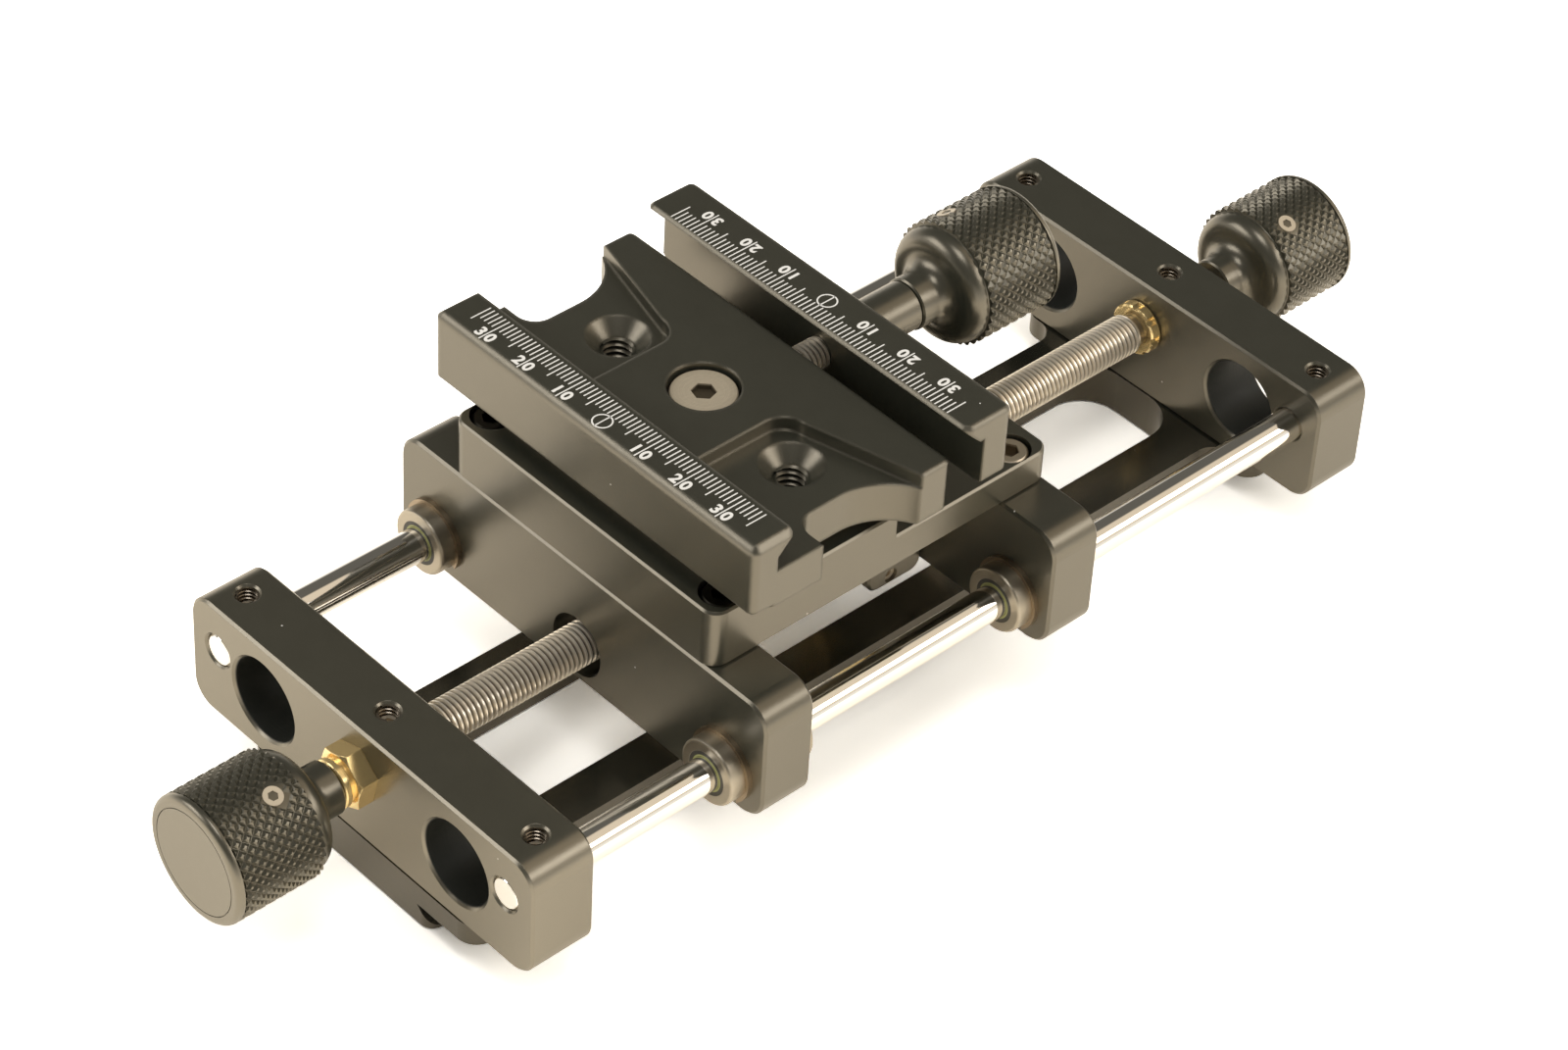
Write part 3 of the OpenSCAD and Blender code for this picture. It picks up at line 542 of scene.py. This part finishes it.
def helix_thread(crest, depth, pitch, length, steps, inward=False):
    """A screw thread on the Z axis from 0 to length; an outward one runs out at both ends."""
    profile = ((-0.16, 0.0), (0.16, 0.0), (0.44, 1.0), (0.56, 1.0))
    rows = int(math.ceil(length / pitch)) + 2
    verts, faces = [], []
    grid = []
    for i in range(-1, rows):
        for share, drop in profile:
            ring = []
            for k in range(steps + 1):
                h = (i + share + k / steps) * pitch
                run = min(1.0, max(0.0, h / pitch), max(0.0, (length - h) / pitch))
                sink = depth * drop if inward else depth * (1 - (1 - drop) * run)
                r = crest - sink
                a = TURN * k / steps
                ring.append(len(verts))
                verts.append((r * math.cos(a), r * math.sin(a), min(max(h, 0.0), length)))
            grid.append(ring)
    for low, high in zip(grid, grid[1:]):
        for k in range(steps):
            corners = [low[k], low[k + 1], high[k + 1], high[k]]
            heights = [verts[c][2] for c in corners]
            if max(heights) - min(heights) > TINY:
                faces.append(corners[::-1] if inward else corners)
    return merged(verts, faces)


def merged(verts, faces, distance=1e-7):
    """Joins points that lie together and drops faces that collapse."""
    where, index, kept = {}, [], []
    for v in verts:
        key = tuple(round(c / distance) for c in v)
        if key not in where:
            where[key] = len(kept)
            kept.append(v)
        index.append(where[key])
    clean = []
    for face in faces:
        ids = [index[i] for i in face]
        ids = [v for i, v in enumerate(ids) if v != ids[i - 1]]
        if len(set(ids)) > 2 and len(set(ids)) == len(ids):
            clean.append(ids)
    return kept, clean


def join(*parts):
    """Puts several (verts, faces) together."""
    verts, faces = [], []
    for v, f in parts:
        faces += [[i + len(verts) for i in face] for face in f]
        verts += list(v)
    return verts, faces


def arc(cx, cy, r, a0, a1, steps=10):
    """Points of an arc, angles in degrees."""
    turns = [math.radians(a0 + (a1 - a0) * i / steps) for i in range(steps + 1)]
    return [(cx + r * math.cos(a), cy + r * math.sin(a)) for a in turns]


def knurl(radius, depth, count, low, high, bare):
    """Flat-topped diamonds on a barrel about Z, from low to high, but for a bare (angle, height, reach)."""
    top_share, stretch = 0.3, 1.02
    rows = max(2, round((high - low) / (math.pi * radius / count * stretch)))
    step = (high - low) / rows
    verts, faces = [], []
    valley = radius - depth

    def point(j, k, r):
        a = math.pi * j / count
        verts.append((r * math.cos(a), r * math.sin(a), low + k * step))
        return len(verts) - 1

    for k in range(rows + 1):
        for j in range(2 * count):
            if (j + k) % 2 == 0:
                continue
            swing = (math.pi * j / count - bare[0] + math.pi) % TURN - math.pi
            if math.hypot(swing * radius, low + k * step - bare[1]) < bare[2]:
                continue
            outer, inner = [], []
            for cj, ck in ((j + 1, k), (j, k + 1), (j - 1, k), (j, k - 1)):
                whole = 0 <= ck <= rows
                if not whole:
                    cj, ck = j, k
                outer.append(point(cj, ck, valley))
                tj = j + (cj - j) * top_share
                tk = k + (ck - k) * top_share
                inner.append(point(tj, tk, radius if whole else valley))
            for i in range(4):
                n = (i + 1) % 4
                faces.append([outer[i], outer[n], inner[n], inner[i]])
            faces.append(inner)
    return merged(verts, faces)


def knob_parts(box_low, box_high, forward, grub_turn, detail):
    """A knob in its CAD box: bell, smooth core and knurl, bare round its grub screw."""
    bore, neck, bell, barrel = 3.12 * MM, 5.0 * MM, 11.2 * MM, 12.0 * MM
    flare_from, flare, dome = 3.2 * MM, 3.1 * MM, 3.1 * MM
    lip, lip_rise = 0.15 * MM, 0.1 * MM
    skin, gap = 0.02 * MM, 0.05 * MM
    grub_at, grub_bare = 14.8 * MM, 2.3 * MM
    bell_end, end = 9.8 * MM, box_high.x - box_low.x
    core = barrel - detail.knurl_depth + skin
    outline = [(bore, 0), (neck - BROKEN_EDGE, 0), (neck, BROKEN_EDGE)]
    outline += arc(neck + flare, flare_from, flare, 180, 90)
    outline += arc(bell - dome, flare_from + flare + dome, dome, 270, 360)
    outline += [(bell, bell_end - lip), (bell + lip_rise, bell_end), (core, bell_end + gap)]
    outline += [(core, end - skin), (bore, end - skin)]
    diamonds = knurl(barrel, detail.knurl_depth, detail.knurl_count, bell_end + gap, end - gap,
                     (math.radians(grub_turn), grub_at, grub_bare))
    middle = (box_low + box_high) / 2
    place = along_x(box_low.x if forward else box_high.x, middle.y, middle.z, forward)
    return placed(join(revolve(outline, KNOB_STEPS), diamonds), place)


def slab(points, low, high):
    """A flat solid over a convex outline given counter-clockwise or clockwise."""
    n = len(points)
    ends = zip(points, points[1:] + points[:1])
    if sum(a[0] * b[1] - b[0] * a[1] for a, b in ends) < 0:
        points = points[::-1]
    verts = [(x, y, low) for x, y in points] + [(x, y, high) for x, y in points]
    faces = [list(range(n))[::-1], list(range(n, 2 * n))]
    faces += [[i, (i + 1) % n, n + (i + 1) % n, n + i] for i in range(n)]
    return verts, faces


def flat_ring(centre, inner, outer, low, high):
    """A flat washer."""
    section = [(inner, low), (outer, low), (outer, high), (inner, high)]
    verts, faces = revolve(section, FINE_STEPS, closed=True)
    return [(x + centre[0], y + centre[1], z) for x, y, z in verts], faces


def glyph(name, digit, x, y, top, way, body):
    """One bold digit lying on a jaw, read from the jaw's outer side."""
    curve = bpy.data.curves.new(name, "FONT")
    curve.body = digit
    curve.size = 3.2 * MM
    curve.align_x = "CENTER"
    curve.align_y = "CENTER"
    curve.offset = 0.12 * MM
    curve.extrude = 0.035 * MM
    curve.resolution_u = 6
    sink = 0.015 * MM
    obj = bpy.data.objects.new(name, curve)
    bpy.context.scene.collection.objects.link(obj)
    turn = Matrix.Rotation(-math.pi / 2 if way < 0 else math.pi / 2, 4, "Z")
    obj.matrix_world = Matrix.Translation((x, y, top - sink)) @ turn
    bpy.context.view_layer.update()
    depsgraph = bpy.context.evaluated_depsgraph_get()
    mesh = bpy.data.meshes.new_from_object(obj.evaluated_get(depsgraph))
    mesh.transform(obj.matrix_world)
    bpy.data.objects.remove(obj)
    done = bpy.data.objects.new(name, mesh)
    bpy.context.scene.collection.objects.link(done)
    mesh.materials.clear()
    mesh.materials.append(_materials["scale_marking"])
    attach(done, body)


# Operators

class RAIL_OT_finishes(bpy.types.Operator):
    """Gives every solid of the rail its finish."""

    bl_idname = "rail.finishes"
    bl_label = "Finish the solids"

    def execute(self, context):
        build_materials(context.scene.rail_finish)
        slots = {s["node"]: s["material_slot"] for s in frame["record"]["subparts"]}
        # the end plates take the lit and the shaded copy of the anodise, which is painted light
        slots.update(base_plate="base_black", carriage_screws="deck_screw",
                     clamp_body="clamp_black", moving_jaw="clamp_black", clamp_centre_screw="centre_steel",
                     near_end_plate="near_plate_lit_black", far_end_plate="far_plate_shaded_black")
        for name, obj in frame["nodes"].items():
            obj.data.materials.clear()
            obj.data.materials.append(_materials[slots[name]])
        return {"FINISHED"}


class RAIL_OT_lead_thread(bpy.types.Operator):
    """Cuts the thread of the lead screw between its two journals."""

    bl_idname = "rail.lead_thread"
    bl_label = "Thread the lead screw"

    def execute(self, context):
        detail = context.scene.rail_detail
        past_plate, short_of_bushing = 0.3 * MM, 1.0 * MM
        low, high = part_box("lead_screw")
        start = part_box("near_end_plate")[1].x + past_plate
        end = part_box("far_bushing")[0].x - short_of_bushing
        crest = (high.z - low.z) / 2
        axis = (high.z + low.z) / 2
        root = crest - detail.lead_depth
        thread = helix_thread(crest, detail.lead_depth, detail.lead_pitch, end - start, LEAD_STEPS)
        near_journal = revolve([(0, low.x), (JOURNAL_R - BROKEN_EDGE, low.x),
                                (JOURNAL_R, low.x + BROKEN_EDGE), (JOURNAL_R, start), (root, start)],
                               LEAD_STEPS)
        far_journal = revolve([(root, end), (JOURNAL_R, end), (JOURNAL_R, high.x - BROKEN_EDGE),
                               (JOURNAL_R - BROKEN_EDGE, high.x), (0, high.x)], LEAD_STEPS)
        verts, faces = join(placed(thread, along_x(start, 0, axis)),
                            placed(near_journal, along_x(0, 0, axis)),
                            placed(far_journal, along_x(0, 0, axis)))
        piece("lead_screw_threaded", verts, faces, "screw_steel", "lead",
              smooth_angle=38, replaces=["lead_screw"])
        return {"FINISHED"}


class RAIL_OT_clamp_thread(bpy.types.Operator):
    """Cuts the thread of the clamp screw."""

    bl_idname = "rail.clamp_thread"
    bl_label = "Thread the clamp screw"

    def execute(self, context):
        detail = context.scene.rail_detail
        low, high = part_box("clamp_screw")
        crest = (high.z - low.z) / 2
        axis = (high.z + low.z) / 2
        root = crest - CLAMP_DEPTH
        length = high.x - low.x
        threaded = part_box("moving_jaw")[1].x - low.x
        thread = helix_thread(crest, CLAMP_DEPTH, detail.clamp_pitch, threaded, FINE_STEPS)
        tip = revolve([(0, 0), (root, 0)], FINE_STEPS)
        shank = revolve([(root, threaded), (crest, threaded), (crest, length), (0, length)], FINE_STEPS)
        verts, faces = placed(join(thread, tip, shank), along_x(low.x, 0, axis))
        piece("clamp_screw_threaded", verts, faces, "clamp_steel", "spindle",
              smooth_angle=38, replaces=["clamp_screw"])
        return {"FINISHED"}


class RAIL_OT_knobs(bpy.types.Operator):
    """Turns the three knobs with their bells and diamond knurls."""

    bl_idname = "rail.knobs"
    bl_label = "Knurl the knobs"

    def execute(self, context):
        detail = context.scene.rail_detail
        # each knob, whether it opens towards +X, and the turn of its grub screw in degrees
        knobs = (("near_knob", False, -24), ("far_knob", True, 204), ("clamp_knob", True, 150))
        for node, forward, grub_turn in knobs:
            low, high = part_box(node)
            verts, faces = knob_parts(low, high, forward, grub_turn, detail)
            piece(node + "_knurled", verts, faces, "knob_black", BODY_OF[node],
                  smooth_angle=33, replaces=[node])
        return {"FINISHED"}


class RAIL_OT_taps(bpy.types.Operator):
    """Cuts the threads of the tapped holes that show."""

    bl_idname = "rail.taps"
    bl_label = "Thread the tapped holes"

    def execute(self, context):
        self.plate_taps()
        self.clamp_taps()
        return {"FINISHED"}

    def plate_taps(self):
        """The three holes on top of each end plate, down to their set screws."""
        tap_r, pitch, depth, ease = 2.08 * MM, 0.794 * MM, 0.40 * MM, 0.4 * MM
        side, side_deep, middle_deep = 38 * MM, 3.2 * MM, 2.6 * MM
        holes = ((-side, side_deep), (0, middle_deep), (side, side_deep))
        for node in ("near_end_plate", "far_end_plate"):
            low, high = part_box(node)
            x = (low.x + high.x) / 2
            for k, (y, deep) in enumerate(holes):
                length = deep - ease
                thread = helix_thread(tap_r, depth, pitch, length, FINE_STEPS, inward=True)
                verts, faces = placed(thread, Matrix.Translation((x, y, high.z - ease - length)))
                piece(f"{node}_tap_{k}", verts, faces, "tapped_thread", "base",
                      smooth_angle=40)

    def clamp_taps(self):
        """The two countersunk holes in the clamp's pockets."""
        tap_r, pitch, depth = 3.1 * MM, 1.27 * MM, 0.5 * MM
        side, under_sink, length = 22.2 * MM, 5.2 * MM, 4.9 * MM
        low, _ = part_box("clamp_body")
        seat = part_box("clamp_centre_screw")
        x = (seat[0].x + seat[1].x) / 2
        top = low.z + under_sink
        for k, y in enumerate((-side, side)):
            thread = helix_thread(tap_r, depth, pitch, length, FINE_STEPS, inward=True)
            verts, faces = placed(thread, Matrix.Translation((x, y, top - length)))
            piece(f"clamp_tap_{k}", verts, faces, "black_anodised", "carriage",
                  smooth_angle=40)


class RAIL_OT_scales(bpy.types.Operator):
    """Fills the millimetre scales on both jaws."""

    bl_idname = "rail.scales"
    bl_label = "Mark the jaws"

    def execute(self, context):
        detail = context.scene.rail_detail
        fixed_in, moving_in = 7.75 * MM, 0.6 * MM
        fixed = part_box("clamp_body")
        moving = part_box("moving_jaw")
        top = fixed[1].z
        self.scale("fixed_jaw_scale", "carriage", top, fixed[0].x + fixed_in, -1, detail)
        self.scale("moving_jaw_scale", "jaw", top, moving[0].x + moving_in, 1, detail)
        return {"FINISHED"}

    def scale(self, name, body, top, start, way, detail):
        """Marks run from start towards way along X; digits face the jaw's outer side."""
        short, medium, long = 3.3 * MM, 4.6 * MM, 7.0 * MM
        half = detail.mark_width / 2
        thick, sink = 0.02 * MM, 0.05 * MM
        ring_r, stroke, ring_out = 1.75 * MM, 0.14 * MM, 5.15 * MM
        digit_out, digit_apart = 5.5 * MM, 1.2 * MM
        parts = []
        for k in range(-detail.mark_count, detail.mark_count + 1):
            length = long if k % 10 == 0 else medium if k % 5 == 0 else short
            y = k * MM
            x0, x1 = sorted((start, start + way * length))
            outline = [(x0 + half, y - half), (x1 - half, y - half), (x1, y),
                       (x1 - half, y + half), (x0 + half, y + half), (x0, y)]
            parts.append(slab(outline, top - sink, top + thick))
        parts.append(flat_ring((start + way * ring_out, 0), ring_r - stroke, ring_r + stroke,
                               top - sink, top + thick))
        verts, faces = join(*parts)
        piece(name, verts, faces, "scale_marking", body)
        for tens in (-3, -2, -1, 1, 2, 3):
            sign = "m" if tens < 0 else "p"
            for side, letter, digit in ((-1, "a", str(abs(tens))), (1, "b", "0")):
                y = tens * 10 * MM + way * side * digit_apart
                glyph(f"{name}_{sign}{abs(tens)}{letter}", digit, start + way * digit_out, y, top, way, body)


class RAIL_OT_stage(bpy.types.Operator):
    """Sets the floor, the lamps, the world and the camera."""

    bl_idname = "rail.stage"
    bl_label = "Set the stage"

    def execute(self, context):
        scene = context.scene
        scene.view_settings.view_transform = "Standard"
        self.floor()
        self.world(scene)
        self.lamps()
        self.camera(scene)
        return {"FINISHED"}

    def floor(self):
        """Pale paper that the camera sees 2.5 times and shiny faces twice as bright, as in the photo."""
        half, low = 6.0, -0.0004
        fade_from, fade_to = 0.35, 1.1
        warm_paper, pale_paper = (0.93, 0.86, 0.74), (0.93, 0.915, 0.875)
        mesh = bpy.data.meshes.new("floor")
        corners = [(-half, -half, low), (half, -half, low), (half, half, low), (-half, half, low)]
        mesh.from_pydata(corners, [], [(0, 1, 2, 3)])
        obj = bpy.data.objects.new("floor", mesh)
        bpy.context.scene.collection.objects.link(obj)
        material = bpy.data.materials.new("floor_paper")
        material.use_nodes = True
        tree = material.node_tree
        paper = tree.nodes["Principled BSDF"]
        straight = make_node(tree, "ShaderNodeLightPath").output("Is Camera Ray")
        cream = mix_colour(tree, straight, warm_paper, pale_paper)
        tree.links.new(cream.out, paper.inputs["Base Color"])
        paper.inputs["Roughness"].default_value = 0.9
        paper.inputs["Specular IOR Level"].default_value = 0.1
        seen = self.seen(tree)
        glow = make_node(tree, "ShaderNodeEmission", None, Color=(1, 1, 1, 1), Strength=seen)
        once = Sock(tree, paper.outputs[0])
        twice = make_node(tree, "ShaderNodeAddShader", None, i0=once, i1=once)
        thrice = make_node(tree, "ShaderNodeAddShader", None, i0=twice, i1=once)
        bright = make_node(tree, "ShaderNodeMixShader", None, i0=straight * 0.5, i1=twice, i2=thrice)
        near = make_node(tree, "ShaderNodeMixShader", None, i0=seen, i1=once, i2=bright)
        reach = make_node(tree, "ShaderNodeVectorMath", {"operation": "LENGTH"}, out=1,
                          i0=object_place(tree))
        away = make_node(tree, "ShaderNodeMapRange", {"interpolation_type": "SMOOTHSTEP"},
                         Value=reach, From_Min=fade_from, From_Max=fade_to)
        whole = make_node(tree, "ShaderNodeMixShader", None, i0=away * seen, i1=near, i2=glow)
        tree.links.new(whole.out, tree.nodes["Material Output"].inputs["Surface"])
        mesh.materials.append(material)

    def seen(self, tree):
        """One for rays from the camera, off shiny faces and through clear ones, else nothing."""
        path = make_node(tree, "ShaderNodeLightPath")
        total = path.output("Is Camera Ray") + path.output("Is Glossy Ray")
        return total + path.output("Is Transmission Ray")

    def world(self, scene):
        """White for the camera and grey for matte faces; shiny ones see a pale wall and a dark roof."""
        wall, dark_roof, pale_panel = (1.0, 0.95, 0.86), (0.13, 0.122, 0.105), (0.80, 0.68, 0.52)
        matte_grey, white = (0.62, 0.61, 0.60), (1.0, 1.0, 1.0)
        world = bpy.data.worlds.new("studio")
        scene.world = world
        world.use_nodes = True
        tree = world.node_tree
        back = tree.nodes["Background"]
        path = make_node(tree, "ShaderNodeLightPath")
        along, across, height = axes_of(tree, make_node(tree, "ShaderNodeTexCoord"))
        # the pale panel in the roof lies to the right, beyond the far end
        panel = (1 - ramp(across, -0.04, 0.08)) * ramp(along, 0.15, 0.4)
        roof = mix_colour(tree, panel, dark_roof, pale_panel)
        room = mix_colour(tree, ramp(height, 0.10, 0.30), wall, roof)
        room = mix_colour(tree, path.output("Is Diffuse Ray"), room, matte_grey)
        colour = mix_colour(tree, path.output("Is Camera Ray"), room, white)
        tree.links.new(colour.out, back.inputs["Color"])
        back.inputs["Strength"].default_value = 1.0

    def lamps(self):
        """Three soft boxes, aimed at the middle of the rail."""
        aim = Vector((0, 0, 0.03))
        # each box, its place, its size, its power in watts and its tint
        boxes = (
            ("right_box", (0.75, -1.00, 0.80), (0.9, 0.5), 4.0, (1.0, 0.98, 0.95)),
            ("left_box", (-0.95, 0.85, 0.80), (0.9, 0.6), 5.5, (1.0, 0.98, 0.95)),
            ("top_box", (-0.25, -0.25, 1.5), (0.6, 0.6), 4.0, (1.0, 0.99, 0.97)),
        )
        for name, at, size, power, tint in boxes:
            light = bpy.data.lights.new(name, "AREA")
            light.shape = "RECTANGLE"
            light.size, light.size_y = size
            light.energy = power
            light.color = tint
            obj = bpy.data.objects.new(name, light)
            bpy.context.scene.collection.objects.link(obj)
            obj.location = at
            obj.rotation_euler = (aim - Vector(at)).to_track_quat("-Z", "Y").to_euler()

    def camera(self, scene):
        """The photo's camera, solved from the rail's straight edges in pixels of the whole frame."""
        width, height = 1600.0, 1071.0
        middle_x, middle_y, focal = 974.774, 405.742, 4795.466
        eye = (-0.45120384, -0.45020968, 0.57328324)
        right = Vector((0.71609168, -0.69458880, 0.06898624))
        up = Vector((0.40249088, 0.49164519, 0.77219564))
        forward = Vector((0.57027519, 0.52519654, -0.63162869))
        data = bpy.data.cameras.new("photo_camera")
        data.sensor_width = 36.0
        data.lens = focal * data.sensor_width / width
        data.shift_x = (width / 2 - middle_x) / width
        data.shift_y = (middle_y - height / 2) / width
        data.clip_start = 0.05
        data.clip_end = 20.0
        obj = bpy.data.objects.new("photo_camera", data)
        scene.collection.objects.link(obj)
        turn = Matrix((right, up, -forward)).transposed().to_4x4()
        obj.matrix_world = Matrix.Translation(eye) @ turn
        scene.camera = obj


class RAIL_PT_panel(bpy.types.Panel):
    """Lists the rail's steps and settings."""

    bl_idname = "RAIL_PT_panel"
    bl_label = "Focusing rail"
    bl_space_type = "VIEW_3D"
    bl_region_type = "UI"
    bl_category = "Rail"

    def draw(self, context):
        column = self.layout.column()
        for step in STEPS:
            column.operator(step.bl_idname)
        for group in (context.scene.rail_finish, context.scene.rail_detail):
            for name in group.__annotations__:
                column.prop(group, name)


STEPS = (RAIL_OT_finishes, RAIL_OT_lead_thread, RAIL_OT_clamp_thread, RAIL_OT_knobs, RAIL_OT_taps,
         RAIL_OT_scales, RAIL_OT_stage)
CLASSES = (RailFinish, RailDetail, *STEPS, RAIL_PT_panel)


def register():
    """Adds the classes and the scene's two groups of settings."""
    for cls in CLASSES:
        bpy.utils.register_class(cls)
    bpy.types.Scene.rail_finish = PointerProperty(type=RailFinish)
    bpy.types.Scene.rail_detail = PointerProperty(type=RailDetail)


def unregister():
    """Takes the settings and the classes away again."""
    del bpy.types.Scene.rail_detail
    del bpy.types.Scene.rail_finish
    for cls in reversed(CLASSES):
        bpy.utils.unregister_class(cls)


def main():
    """Runs every step."""
    register()
    for step in STEPS:
        group, name = step.bl_idname.split(".")
        getattr(getattr(bpy.ops, group), name)()


if __name__ == "__main__":
    main()
